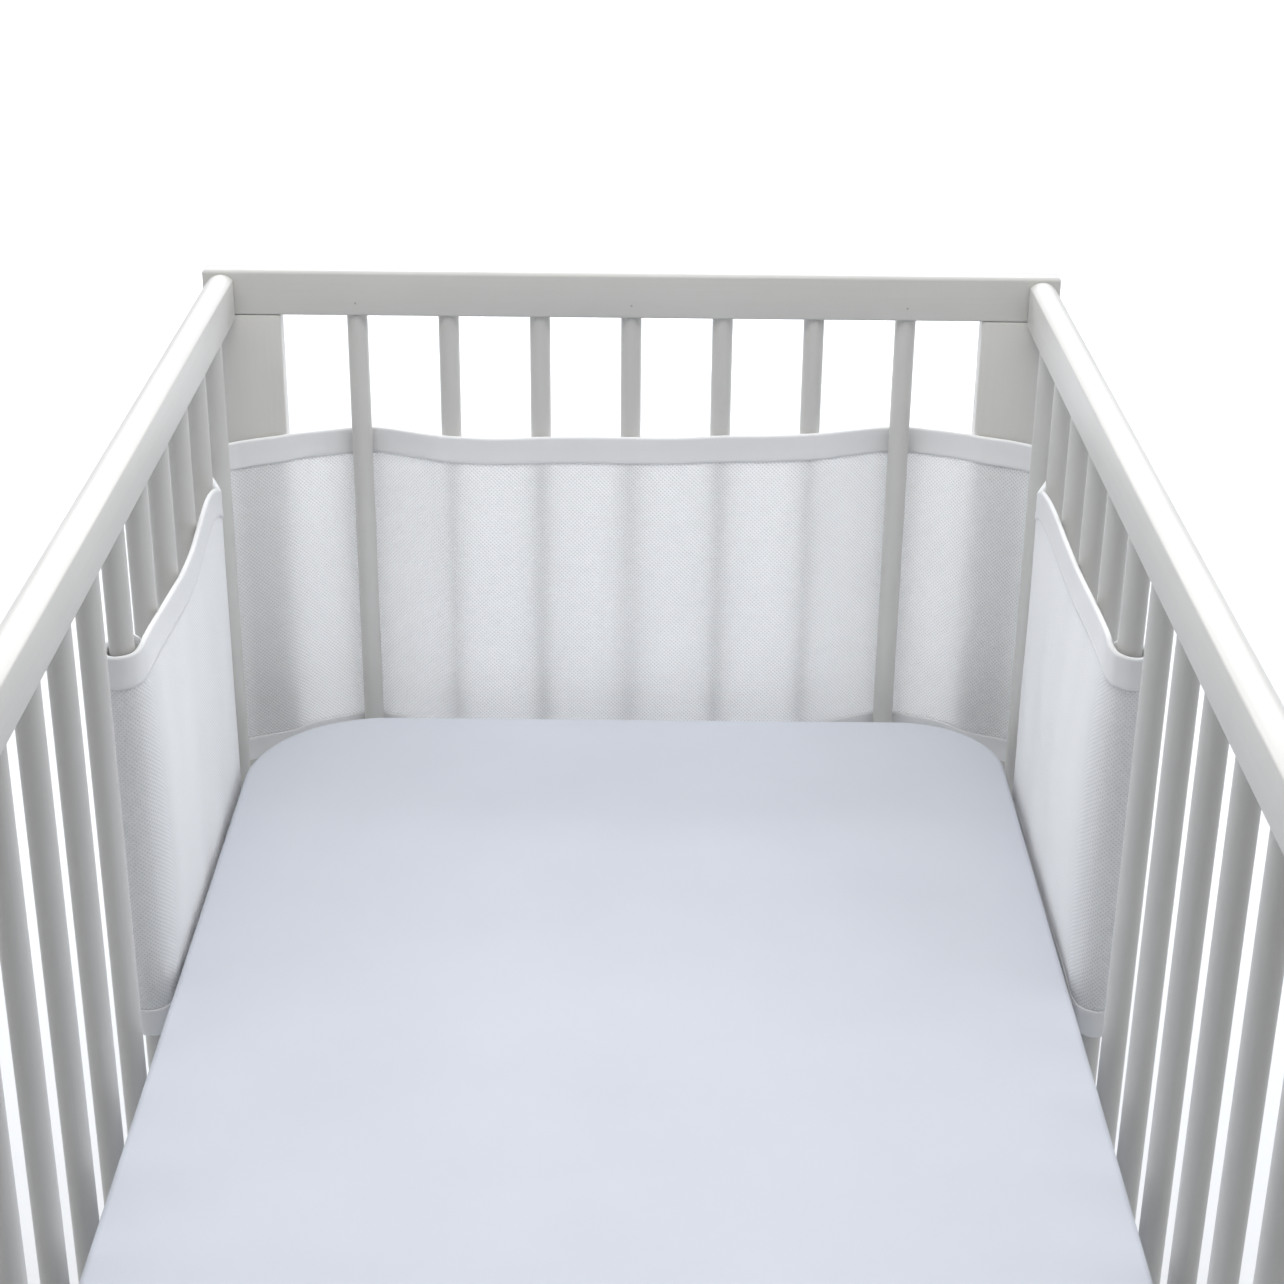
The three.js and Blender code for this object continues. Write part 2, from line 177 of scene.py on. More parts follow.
def spacer_mesh():
    """Knitted spacer mesh: eyelets in a diamond grid with painted shade in them, and light that comes through
    the cloth.
    """
    net = Net("spacer_mesh_white")
    where = net.tree.nodes.new("ShaderNodeUVMap")
    where.uv_map = "cloth"
    parts = net.node("ShaderNodeSeparateXYZ", Vector=where.outputs[0])
    turns = 2 * math.pi / (EYELET_PITCH_MM * MM)
    wobble = net.noise(where.outputs[0], 60, 2)
    drift = net.spread(wobble, -0.35, 0.35)
    across = net.math("MULTIPLY_ADD", parts.outputs[0], turns, drift)
    down = net.math("MULTIPLY_ADD", parts.outputs[1], turns, drift)
    first = net.math("COSINE", net.math("ADD", across, down))
    second = net.math("COSINE", net.math("SUBTRACT", across, down))
    height = net.math("MULTIPLY", net.math("ADD", first, second), 0.5)
    eyelet_shade = net.spread(height, 0, 1, -0.25, -0.9, smooth=True)
    knot = net.spread(height, 0, 1, 0.35, 1.0, smooth=True)
    cloud = net.noise(where.outputs[0], 14, 3)
    colour = net.blend(net.spread(cloud, 0, 1, 0.3, 0.7), (0.973, 0.976, 0.980), (0.981, 0.984, 0.987))
    # The eyelets are darkened in colour: painted shade in the holes.
    colour = net.blend(net.math("MULTIPLY", eyelet_shade, 0.85), colour, (0.72, 0.725, 0.73))
    colour = net.blend(net.math("MULTIPLY", knot, 0.5), colour, (0.99, 0.99, 0.99))
    yarn = net.noise(where.outputs[0], 2600, 2)
    bump = net.bump(yarn, 0.00004)
    bump = net.bump(height, 0.00018, bump)
    net.shader.subsurface_method = "RANDOM_WALK"
    return net.finish(
        Base_Color=colour, Roughness=0.9, Normal=bump,
        Subsurface_Weight=1.0, Subsurface_Radius=(1.0, 1.0, 1.0), Subsurface_Scale=0.0046,
        Sheen_Weight=0.08, Sheen_Roughness=0.6, Specular_IOR_Level=0.15,
    )


def woven(name, source, light, dark, pitch_mm, relief):
    """Plain-woven cloth: threads over and under each other, with a little unevenness."""
    net = Net(name)
    if source == "cloth":
        where = net.tree.nodes.new("ShaderNodeUVMap")
        where.uv_map = "cloth"
        where = where.outputs[0]
    else:
        where = net.place()
    parts = net.node("ShaderNodeSeparateXYZ", Vector=where)
    turns = 2 * math.pi / (pitch_mm * MM)
    warp = net.math("SINE", net.math("MULTIPLY", parts.outputs[0], turns))
    weft = net.math("SINE", net.math("MULTIPLY", parts.outputs[1], turns))
    threads = net.math("MULTIPLY", warp, weft)
    slub = net.noise(where, 500, 3)
    cloud = net.noise(where, 11, 3)
    colour = net.blend(net.spread(cloud, 0, 1, 0.3, 0.7), dark, light)
    shade = net.math("MULTIPLY", net.spread(threads, 1, 0, -1, 1), 0.12)
    colour = net.blend(shade, colour, tuple(0.8 * c for c in dark))
    bump = net.bump(slub, relief)
    bump = net.bump(threads, relief, bump)
    return net.finish(
        Base_Color=colour, Roughness=0.88, Normal=bump,
        Sheen_Weight=0.06, Sheen_Roughness=0.5, Specular_IOR_Level=0.2,
    )


# Dark grey with a little speckle for the pin holes in the head rail: painted shade.
def pin_hole_shade():
    net = Net("pin_hole_shade_grey")
    grain = net.noise(net.place(), 2500, 2)
    colour = net.blend(grain, (0.40, 0.39, 0.38), (0.47, 0.46, 0.45))
    return net.finish(Base_Color=colour, Roughness=0.6, Normal=net.bump(grain, 0.00005))


def plain_floor():
    net = Net("pale_floor")
    cloud = net.noise(net.place(), 0.7, 3)
    colour = net.blend(net.spread(cloud, 0, 1, 0.3, 0.7), (0.93, 0.93, 0.93), (0.945, 0.945, 0.945))
    bump = net.bump(net.noise(net.place(), 300, 2), 0.0001)
    return net.finish(Base_Color=colour, Roughness=0.85, Normal=bump)


PAINT = {axis: painted_wood(f"white_paint_along_{axis}", axis) for axis in "XYZ"}
PIN_HOLE_SHADE = pin_hole_shade()
MESH_CLOTH = spacer_mesh()
BINDING_CLOTH = woven("binding_white", "cloth", (0.915, 0.917, 0.918), (0.895, 0.897, 0.898), 0.7, 0.00006)
SHEET_CLOTH = woven("fitted_sheet_white", "Object", (0.655, 0.68, 0.74), (0.635, 0.66, 0.72), 0.8, 0.00005)

# ---- Meshes ----


def make_piece(name, points, faces, material, slot, replaces=(), uvs=None, sharp=40):
    """A mesh object from lists of points and faces, riding with the part. uvs has one pair a point."""
    mesh = bpy.data.meshes.new(name)
    mesh.from_pydata([tuple(p) for p in points], [], [tuple(f) for f in faces])
    mesh.materials.append(material)
    if uvs is not None:
        layer = mesh.uv_layers.new(name="cloth")
        corners = np.empty(len(mesh.loops), dtype=np.int32)
        mesh.loops.foreach_get("vertex_index", corners)
        layer.data.foreach_set("uv", np.asarray(uvs, dtype=np.float32)[corners].ravel())
    mesh.shade_smooth()
    mesh.set_sharp_from_angle(angle=math.radians(sharp))
    mesh.validate()
    piece = bpy.data.objects.new(name, mesh)
    bpy.context.collection.objects.link(piece)
    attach(piece, BODY)
    if replaces:
        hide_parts(*replaces)
    return piece


# ---- Timber ----

HEAD_SLATS = 7
SIDE_SLATS = 16
QUARTER_STEPS = 6
TIMBER_BEVEL_MM = 1.2
BEVEL_MIDDLE = 0.3
END_RAIL_ROUND_MM = 3
PLAIN_ROUND_MM = 1.5
POST_ROUND_MM = 2.5
RAIL_END_BEVEL_MM = 2.2
SEALED = 1e-4
DOWEL_MM = 16
DOWEL_SIDES = 32
RAIL_DOME_MM = 4.5
RAIL_EDGE_MM = 1.4
RAIL_EDGE_TURN = 0.12
RAIL_EDGE_IN = 0.25
RAIL_EDGE_UP = 0.1
RAIL_FOOT_MM = 1.5
DOME_STEPS = 20
PIN_HOLE_MM = 1.7
PIN_SIDES = 12
PIN_OVER_EDGE_MM = 10
PIN_SLATS = (1, 4, 7)
PIN_FROM_FACE_MM = (0.01, 0.06)


def rounded_outline(width, height, upper, lower, inset=0.0):
    """A rectangle about the origin with its upper and lower corners rounded, drawn in by inset."""
    points = []
    corners = ((1, 1, upper, 0), (-1, 1, upper, 1), (-1, -1, lower, 2), (1, -1, lower, 3))
    for side, end, radius, quarter in corners:
        kept = max(radius - inset, SEALED)
        for step in range(QUARTER_STEPS + 1):
            angle = (quarter + step / QUARTER_STEPS) * math.pi / 2
            points.append((
                side * (width / 2 - inset - kept) + kept * math.cos(angle),
                end * (height / 2 - inset - kept) + kept * math.sin(angle),
            ))
    return points


def loft(rings, size):
    """Faces between rings of points that close on themselves, with a face at each end."""
    faces = []
    for ring in range(rings - 1):
        for corner in range(size):
            after = (corner + 1) % size
            faces.append((
                ring * size + corner, ring * size + after,
                (ring + 1) * size + after, (ring + 1) * size + corner,
            ))
    faces.append(list(range(size))[::-1])
    faces.append([(rings - 1) * size + corner for corner in range(size)])
    return faces


def bar(low, high, axis, upper, lower, bevel):
    """Points and faces of a bar that fills the box from low to high and runs along axis."""
    run = "XYZ".index(axis)
    across, up = [i for i in range(3) if i != run]
    middle = [(a + b) / 2 for a, b in zip(low, high)]
    width, height = high[across] - low[across], high[up] - low[up]
    nick = BEVEL_MIDDLE * bevel
    rings = [(low[run], bevel), (low[run] + nick, nick), (low[run] + bevel, 0)]
    rings += [(low[run] + high[run] - place, inset) for place, inset in reversed(rings)]
    points = []
    for place, inset in rings:
        for x, y in rounded_outline(width, height, upper, lower, inset):
            point = [0, 0, 0]
            point[run], point[across], point[up] = place, middle[across] + x, middle[up] + y
            points.append(point)
    faces = loft(len(rings), 4 * (QUARTER_STEPS + 1))
    if axis == "Y":
        faces = [face[::-1] for face in faces]
    return points, faces


def join(parts):
    points, faces = [], []
    for some_points, some_faces in parts:
        first = len(points)
        points += some_points
        faces += [[first + i for i in face] for face in some_faces]
    return points, faces


def timber(name, nodes, axis, upper_mm, lower_mm, bevel_mm=TIMBER_BEVEL_MM):
    """One piece that stands for one or more CAD bars, each at its own place and size."""
    bars = [
        bar(*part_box(node), axis, upper_mm * MM, lower_mm * MM, bevel_mm * MM) for node in nodes
    ]
    return make_piece(name, *join(bars), PAINT[axis], "paint", nodes)


def dowel(low, high):
    """Points and faces of an upright dowel in the middle of the box from low to high."""
    middle = [(a + b) / 2 for a, b in zip(low, high)]
    radius = DOWEL_MM * MM / 2
    points = []
    for level in (low[2], high[2]):
        for corner in range(DOWEL_SIDES):
            angle = 2 * math.pi * corner / DOWEL_SIDES
            x, y = radius * math.cos(angle), radius * math.sin(angle)
            points.append((middle[0] + x, middle[1] + y, level))
    return points, loft(2, DOWEL_SIDES)


def dowels(name, nodes):
    parts = [dowel(*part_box(node)) for node in nodes]
    return make_piece(name, *join(parts), PAINT["Z"], "paint", nodes)


def domed_outline(width, height, inset=0.0):
    """A rectangle about the origin with a domed top, drawn in by inset."""
    half, top = width / 2, height / 2
    dome, edge, foot = RAIL_DOME_MM * MM, RAIL_EDGE_MM * MM, RAIL_FOOT_MM * MM
    radius = (half**2 + dome**2) / (2 * dome)
    spread = math.asin(half / radius) - RAIL_EDGE_TURN
    points = []
    for step in range(DOME_STEPS + 1):
        angle = math.pi / 2 - spread + 2 * spread * step / DOME_STEPS
        points.append((
            (radius - inset) * math.cos(angle), top - radius + (radius - inset) * math.sin(angle)
        ))
    # From the dome's end the edge turns down into the rail's side.
    shoulder = points[-1]
    below = shoulder[1] - edge
    turn_x = half - inset - RAIL_EDGE_IN * (shoulder[0] + half - inset)
    turn_y = (shoulder[1] + below) / 2 + RAIL_EDGE_UP * edge
    points += [(-turn_x, turn_y), (-half + inset, below)]
    for side, start in ((-1, math.pi), (1, 1.5 * math.pi)):
        for step in range(QUARTER_STEPS + 1):
            angle = start + math.pi / 2 * step / QUARTER_STEPS
            points.append((
                side * (half - foot) + (foot - inset) * math.cos(angle),
                -top + foot + (foot - inset) * math.sin(angle),
            ))
    points += [(half - inset, below), (turn_x, turn_y)]
    return points


def domed_bar(low, high):
    """Points and faces of a side rail that fills the box from low to high."""
    middle = [(a + b) / 2 for a, b in zip(low, high)]
    bevel = RAIL_END_BEVEL_MM * MM * BEVEL_MIDDLE
    rings = [(low[1], bevel), (low[1] + bevel, 0.0), (high[1] - bevel, 0.0), (high[1], bevel)]
    points = []
    for place, inset in rings:
        for x, z in domed_outline(high[0] - low[0], high[2] - low[2], inset):
            points.append((middle[0] + x, place, middle[2] + z))
    return points, [face[::-1] for face in loft(len(rings), len(points) // len(rings))]


def make_crib():
    timber("head_rail", ["head_top_rail"], "X", END_RAIL_ROUND_MM, PLAIN_ROUND_MM, RAIL_END_BEVEL_MM)
    timber("head_lower_rail", ["head_low_rail"], "X", PLAIN_ROUND_MM, PLAIN_ROUND_MM)
    dowels("head_slats", [f"head_slat_{n}" for n in range(1, HEAD_SLATS + 1)])
    for end in ("head", "foot"):
        for hand in ("left", "right"):
            post = f"{end}_post_{hand}"
            timber(f"{post}_painted", [post], "Z", POST_ROUND_MM, POST_ROUND_MM)
    for hand in ("left", "right"):
        node = f"{hand}_top_rail"
        make_piece(f"{hand}_side_rail", *domed_bar(*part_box(node)), PAINT["Y"], "paint", [node])
        timber(f"{hand}_side_lower_rail", [f"{hand}_low_rail"], "Y", PLAIN_ROUND_MM, PLAIN_ROUND_MM)
        dowels(f"{hand}_side_slats", [f"{hand}_slat_{n}" for n in range(1, SIDE_SLATS + 1)])
    timber("base_board", ["mattress_base"], "Y", PLAIN_ROUND_MM, PLAIN_ROUND_MM)
    make_pin_hole_shades()
    make_foot_panel()


def make_pin_hole_shades():
    """Dark grey discs on the head rail's face, over some of its slats: painted shade of the pin holes there.
    """
    low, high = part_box("head_top_rail")
    radius = PIN_HOLE_MM * MM / 2
    up = low[2] + PIN_OVER_EDGE_MM * MM
    hole_shades = []
    for number in PIN_SLATS:
        slat_low, slat_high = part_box(f"head_slat_{number}")
        across = (slat_low[0] + slat_high[0]) / 2
        points = [
            (across + radius * math.cos(angle), low[1] - out * MM, up + radius * math.sin(angle))
            for out in PIN_FROM_FACE_MM
            for angle in np.arange(PIN_SIDES) * 2 * math.pi / PIN_SIDES
        ]
        hole_shades.append((points, loft(2, PIN_SIDES)))
    make_piece("head_rail_pin_hole_shades", *join(hole_shades), PIN_HOLE_SHADE, "paint")


def make_foot_panel():
    """The foot end's rails and slats, at the head end's heights and places across."""
    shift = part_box("foot_panel")[0][1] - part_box("head_top_rail")[0][1]

    def moved(node):
        low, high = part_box(node)
        return (low[0], low[1] + shift, low[2]), (high[0], high[1] + shift, high[2])

    rail_sizes = {
        "head_top_rail": (END_RAIL_ROUND_MM, PLAIN_ROUND_MM, RAIL_END_BEVEL_MM),
        "head_low_rail": (PLAIN_ROUND_MM, PLAIN_ROUND_MM, TIMBER_BEVEL_MM),
    }
    bars = [
        bar(*moved(node), "X", *(value * MM for value in sizes)) for node, sizes in rail_sizes.items()
    ]
    bars += [dowel(*moved(f"head_slat_{n}")) for n in range(1, HEAD_SLATS + 1)]
    make_piece("foot_end", *join(bars), PAINT["X"], "paint", ["foot_panel"])


make_crib()

# ---- Mattress in its fitted sheet ----

FOOT_CORNER_MM = 84
# The corners' rounds, from the head's right one round to the foot's right one.
MATTRESS_CORNERS_MM = (76, 104, FOOT_CORNER_MM, FOOT_CORNER_MM)
MATTRESS_EASE_MM = 1.6
CORNER_STEPS = 30
STRAIGHT_STEPS = (44, 96)
ROUND_LOST = 0.55
LEAST_ROUND_MM = 4
SIDE_ROUND_MM = 5
SIDE_STEPS = 7
TOP_STEP_MM = 9
CROWN_MM = 1.2


def mattress_outline(width, length, inset):
    """Points round a rectangle with rounded corners that is drawn in by inset, from its right side."""
    half_x, half_y = width / 2 - inset, length / 2 - inset
    ways = [(1, 1), (-1, 1), (-1, -1), (1, -1)]
    rounds = [
        min(max(corner * MM - ROUND_LOST * inset, LEAST_ROUND_MM * MM), half_x, half_y)
        for corner in MATTRESS_CORNERS_MM
    ]
    points = []
    for number, ((way_x, way_y), radius) in enumerate(zip(ways, rounds)):
        centre = np.array([way_x * (half_x - radius), way_y * (half_y - radius)])
        angles = (number + np.linspace(0, 1, CORNER_STEPS)) * math.pi / 2
        turn = centre + radius * np.column_stack([np.cos(angles), np.sin(angles)])
        after = (number + 1) % 4
        goal = np.array([
            ways[after][0] * (half_x - rounds[after]), ways[after][1] * (half_y - rounds[after])
        ]) + rounds[after] * np.array([math.cos(angles[-1]), math.sin(angles[-1])])
        shares = np.linspace(0, 1, STRAIGHT_STEPS[number % 2] + 1)[1:-1, None]
        points += [turn, turn[-1] + shares * (goal - turn[-1])]
    return np.concatenate(points)


def make_mattress():
    low, high = (np.array(corner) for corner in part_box("mattress"))
    width, length = (high - low)[:2]
    width += 2 * MATTRESS_EASE_MM * MM
    middle = (low + high)[:2] / 2
    edge = SIDE_ROUND_MM * MM
    rings = []
    for step in range(SIDE_STEPS + 1):
        angle = math.pi / 2 * step / SIDE_STEPS
        rings.append((edge * (1 - math.sin(angle)), low[2] + edge * (1 - math.cos(angle))))
    wall = np.linspace(low[2] + edge, high[2] - edge, 8)[1:-1]
    rings += [(0.0, level) for level in wall]
    for step in range(SIDE_STEPS + 1):
        angle = math.pi / 2 * step / SIDE_STEPS
        rings.append((edge * (1 - math.cos(angle)), high[2] - edge * (1 - math.sin(angle))))
    insets = np.arange(edge + TOP_STEP_MM * MM, width / 2 - 2 * MM, TOP_STEP_MM * MM)
    rings += [(inset, high[2]) for inset in insets]
    points = []
    for inset, level in rings:
        outline = mattress_outline(width, length, inset)
        points.append(np.column_stack([outline + middle, np.full(len(outline), level)]))
    points = np.concatenate(points)
    points = dress_mattress(points, low, high)
    faces = loft(len(rings), len(outline))
    piece = make_piece("mattress_in_sheet", points, faces, SHEET_CLOTH, "sheet", ["mattress"], sharp=80)
    return piece


def dress_mattress(points, low, high):
    """Crowns the top a little and draws the sheet in at the corners, where its elastic gathers it."""
    x, y, z = points.T
    middle, half = (low + high) / 2, (high - low) / 2
    from_x = np.clip(1 - np.abs(x - middle[0]) / half[0], 0, 1)
    from_y = np.clip(1 - np.abs(y - middle[1]) / half[1], 0, 1)
    on_top = np.clip((z - (high[2] - 3 * MM)) / (3 * MM), 0, 1)
    swell = np.minimum(1, 4 * from_x) * np.minimum(1, 6 * from_y)
    waves = (
        0.5 * np.sin(x * 31 + 1.3 * np.sin(y * 9)) * np.sin(y * 17 + 0.8)
        + 0.3 * np.sin(x * 13 - y * 23 + 2.1)
    )
    raised = (CROWN_MM * swell + 0.5 * waves * swell - 0.4) * MM
    corner_x = np.abs(x - middle[0]) - (half[0] - FOOT_CORNER_MM * MM)
    corner_y = np.abs(y - middle[1]) - (half[1] - FOOT_CORNER_MM * MM)
    at_corner = np.clip(np.minimum(corner_x, corner_y) / (60 * MM), 0, 1)
    angle = np.arctan2(corner_y, corner_x)
    pleats = np.sin(angle * 34) * 0.5 + np.sin(angle * 57 + 1.7) * 0.3
    height = (z - low[2]) / (high[2] - low[2])
    gather = np.clip(1.05 - height * 1.25, 0, 1) * np.clip(height * 8, 0, 1)
    drawn_in = (0.9 + pleats) * gather * at_corner * 1.3 * MM
    outward = np.column_stack([
        np.cos(angle) * np.sign(x - middle[0]), np.sin(angle) * np.sign(y - middle[1])
    ])
    points = points.copy()
    points[:, :2] -= outward * drawn_in[:, None]
    points[:, 2] += on_top * raised
    return points


make_mattress()

# ---- Bumper ----

CRIB_INNER_WIDTH_MM = 612
TIMBER_MM = 19
POST_WIDTH_MM = 53.5
END_PITCH_MM = 71
SIDE_PITCH_MM = 72.6
FIRST_SIDE_SLAT_MM = 57.5
BUMPER_DROP_MM = 131
BUMPER_HEIGHT_MM = 282
MESH_HALF_MM = 1.2
BINDING_HEIGHT_MM = 22
BINDING_EASE_MM = 0.2
BINDING_CLOTH_MM = 0.4
CLEARANCE_MM = 1.0
JOINT_GAP_MM = 0.3

binding_inside_mm = MESH_HALF_MM + BINDING_EASE_MM
binding_outside_mm = binding_inside_mm + BINDING_CLOTH_MM


def route_rows():
    """The rows of the strip's route, from the middle of the head to the flap. Each row has the place
    across from the crib's middle and along from the head's inner face, how far the top edge rises on
    the left and on the right, how far the strip bellies across and along at half its height, and how
    far the hem is drawn up."""
    gap = CLEARANCE_MM + binding_outside_mm
    side = CRIB_INNER_WIDTH_MM / 2 + TIMBER_MM / 2
    inset = (TIMBER_MM - DOWEL_MM) / 2
    before = gap - inset + 0.1
    behind = -inset - DOWEL_MM - gap - 0.3
    inside = side - DOWEL_MM / 2 - gap
    outside = side + DOWEL_MM / 2 + gap
    edge = DOWEL_MM / 2
    p = END_PITCH_MM
    post = CRIB_INNER_WIDTH_MM / 2 + TIMBER_MM - POST_WIDTH_MM / 2
    post_edge = post - POST_WIDTH_MM / 2

    def slat(number):
        return FIRST_SIDE_SLAT_MM + (number - 1) * SIDE_PITCH_MM

    def between(number):
        return slat(number) + SIDE_PITCH_MM / 2

    loop = slat(6)
    radius = edge + gap + 0.3
    turn = radius * math.sqrt(0.5)
    flap = inside + 2 * binding_outside_mm + JOINT_GAP_MM
    return [
        (p / 2, before + 1, 0, 0, 0, 2, 0),
        (p, before, -1, 1.5, 0, 1, 0),
        (1.5 * p, before + 1, -2, 2.5, 0, 2, 0),
        (2 * p, before, -1, 4, 0, 1, 0),
        (2 * p + edge + 3, before, 0, 5, 0, 1, 3),
        (3 * p - edge - 2, behind + 1.5, -1, 3, 0, -2, 6),
        (3 * p, behind - 0.3, -2, 2, 0, -1, 7),
        (3 * p + edge + 2, behind + 1.5, -2, 3, 0, -1, 7),
        (post_edge - 5, gap - 1.7, 0, 5, 0, 2, 5),
        (post_edge + 5, gap + 1.1, -1, 4, 0, 3, 2),
        (post, gap + 1.5, -4, 1, -1, 5, 0),
        (outside - 14, gap + 3.5, -6, -1, -2, 5, 0),
        (outside - 3, gap + 10, -7, -2, -2, 3, 0),
        (outside, slat(1) - 2 * edge, -5, -1, 0, 0, 0),
        (outside, slat(1) + edge, -4, 0, 0, 0, 0),
        ((outside + inside) / 2, between(1) - 2, -3, 1, 0, 2, 0),
        (inside - 0.3, slat(2) - edge + 2, -1, 4, 0, 2, 0),
        (inside - 0.3, slat(2) + edge, 6, 10, -1, 1, 0),
        (inside, between(2), 10.5, 13.5, -2, 0, 0),
        (inside, slat(3), 5.5, 14.5, -3, 0, 0),
        (inside - 0.3, between(3), -0.5, 14, -4, 0, 0),
        (inside, slat(4), -2, 13, -4, 0, 0),
        (inside - 0.3, between(4), 1.5, 14.5, -5, 0, 0),
        (inside - 0.5, slat(5), 5, 17, -5, 0, 0),
        (inside - 0.7, between(5), 9, 19, -5.5, 0, 0),
        (inside - 1.5, loop - edge, 12, 20.5, -5.5, 0, 0),
        (inside - 0.8, loop + 1, 10.5, 17.5, -4.5, 1, 0),
        (side - turn - 0.4, loop + turn + 0.8, 9, 15.5, -2.5, 3, 0),
        (side, loop + radius + 0.8, 8, 14, 0.5, 3.5, 0),
        (side + turn, loop + turn + 0.4, 7, 13, 1.5, 1.5, 0),
        (side + radius, loop, 8, 14, 0, 0, 0),
        (side + turn + 0.2, loop - turn - 0.4, 11, 15, 0, -1, 0),
        (side + 0.5, loop - radius - 1.2, 15, 17, 0, -1.5, 0),
        (flap + 2, loop - radius - 6, 10, 12, -1, -1, 0),
        (flap + 0.7, loop - radius - 14, 3, 5, -4, 0, 0),
        (flap + 0.8, loop - radius - 25, -3, -2, -4.5, 0, 0),
    ]


def catmull_rom(points, places):
    """A centripetal Catmull-Rom curve through points, at places from 0 to 1."""
    points = np.vstack([2 * points[0] - points[1], points, 2 * points[-1] - points[-2]])
    spans = len(points) - 3
    place = np.clip(np.asarray(places) * spans, 0, spans - 1e-9)
    first = place.astype(int)
    t = (place - first)[:, None]
    p0, p1, p2, p3 = (points[first + k] for k in range(4))

    def knot(a, b):
        return np.maximum(np.sqrt(np.linalg.norm(b - a, axis=1)), 1e-4)[:, None]

    d0, d1, d2 = knot(p0, p1), knot(p1, p2), knot(p2, p3)
    m1 = ((p1 - p0) / d0 - (p2 - p0) / (d0 + d1) + (p2 - p1) / d1) * d1
    m2 = ((p2 - p1) / d1 - (p3 - p1) / (d1 + d2) + (p3 - p2) / d2) * d1
    return (
        p1 + m1 * t + (-3 * p1 + 3 * p2 - 2 * m1 - m2) * t**2 + (2 * p1 - 2 * p2 + m1 + m2) * t**3
    )


class Strip:
    """The bumper's middle surface, in millimetres, at places along the route and depths below its top."""

    def __init__(self):
        rows = route_rows()
        self.edges = [catmull_rom_source(rows, share) for share in (0, 0.5, 1)]

    def middle(self, places, depths):
        share = (np.asarray(depths) / BUMPER_HEIGHT_MM)[:, None]
        top, half, hem = (catmull_rom(edge, places) for edge in self.edges)
        return (
            top * (1 - share) * (1 - 2 * share) + half * 4 * share * (1 - share)
            + hem * share * (2 * share - 1)
        )

    def sideways(self, places, depths, step=1e-4):
        before = self.middle(np.clip(places - step, 0, 1), depths)
        after = self.middle(np.clip(places + step, 0, 1), depths)
        way = np.column_stack([after[:, 1] - before[:, 1], before[:, 0] - after[:, 0], np.zeros(len(places))])
        return way / np.linalg.norm(way, axis=1)[:, None]

    def at(self, places, depths, offsets):
        """Points offset from the middle surface, positive towards the crib's outside."""
        places, depths = np.asarray(places, float), np.asarray(depths, float)
        return self.middle(places, depths) - self.sideways(places, depths) * np.asarray(offsets)[:, None]


def catmull_rom_source(rows, share):
    slack_share = 4 * share * (1 - share)
    sides = []
    for side in (-1, 1):
        points = []
        for across, along, left, right, slack_across, slack_along, hem in rows:
            rise = left if side < 0 else right
            points.append((
                side * (across + slack_share * slack_across),
                head_face_mm - along - slack_share * slack_along,
                rail_top_mm - BUMPER_DROP_MM + rise - share * (BUMPER_HEIGHT_MM - hem),
            ))
        sides.append(points)
    return np.array(sides[0][::-1] + sides[1])


strip = Strip()

STATION_LENGTH_MM = 6
STATION_TURN = math.radians(5)
ROUTE_SAMPLES = 24000


def choose_stations():
    """Places close together where the strip bends, and further apart where it runs straight."""
    places = np.arange(ROUTE_SAMPLES + 1) / ROUTE_SAMPLES
    level = np.zeros(len(places))
    points = strip.middle(places, level)
    way = strip.sideways(places, level)
    lengths = np.linalg.norm(np.diff(points, axis=0), axis=1)
    turns = np.arccos(np.clip((way[1:] * way[:-1]).sum(axis=1), -1, 1))
    cost = np.concatenate([[0], np.cumsum(lengths / STATION_LENGTH_MM + turns / STATION_TURN)])
    count = int(cost[-1]) + 1
    return np.interp(np.linspace(0, cost[-1], count), cost, places)


stations = choose_stations()
middle_line = strip.middle(stations, np.full(len(stations), BUMPER_HEIGHT_MM / 2))
run_mm = np.concatenate([[0], np.cumsum(np.linalg.norm(np.diff(middle_line, axis=0), axis=1))])


def sweep(section, offset_change=None):
    """Sweeps a closed section of (offset, depth) along the stations, as points, faces and uvs."""
    size, count = len(section), len(stations)
    offsets = np.tile([corner[0] for corner in section], count)
    depths = np.tile([corner[1] for corner in section], count)
    places = np.repeat(stations, size)
    runs = np.repeat(run_mm, size)
    if offset_change is not None:
        offsets = offsets + offset_change(runs, depths)
    points = strip.at(places, depths, offsets) * MM
    faces = []
    for station in range(count - 1):
        for corner in range(size):
            a, b = station * size + corner, station * size + (corner + 1) % size
            faces.append((a, a + size, b + size, b))
    faces.append(list(range(size)))
    faces.append([(count - 1) * size + corner for corner in range(size)][::-1])
    return points, faces, np.column_stack([runs, depths]) * MM


def ripple(runs, depths):
    """Slight unevenness of the cloth, which dies out at the bindings."""
    share = np.clip(depths / BUMPER_HEIGHT_MM, 0, 1)
    free = np.sin(math.pi * share) ** 0.7
    return 0.35 * free * (
        np.sin(runs / 23.0 + 1.7 * np.sin(depths / 61.0)) * np.sin(depths / 47.0 + runs / 190.0)
        + 0.5 * np.sin(runs / 9.1 + depths / 33.0)
    )


def pucker(runs, depths):
    """The bindings draw up a little between their stitches."""
    return 0.05 * np.sin(runs / 1.9)


def mesh_section():
    top = 0.9 + BINDING_EASE_MM
    levels = np.concatenate([
        [top], np.linspace(8, BUMPER_HEIGHT_MM - 8, 36), [BUMPER_HEIGHT_MM - top]
    ])
    return [(MESH_HALF_MM, d) for d in levels] + [(-MESH_HALF_MM, d) for d in levels[::-1]]


FOLD_STEPS = 6
TURN_UNDER_MM = 5.5
TURN_UNDER_RISE_MM = 0.2


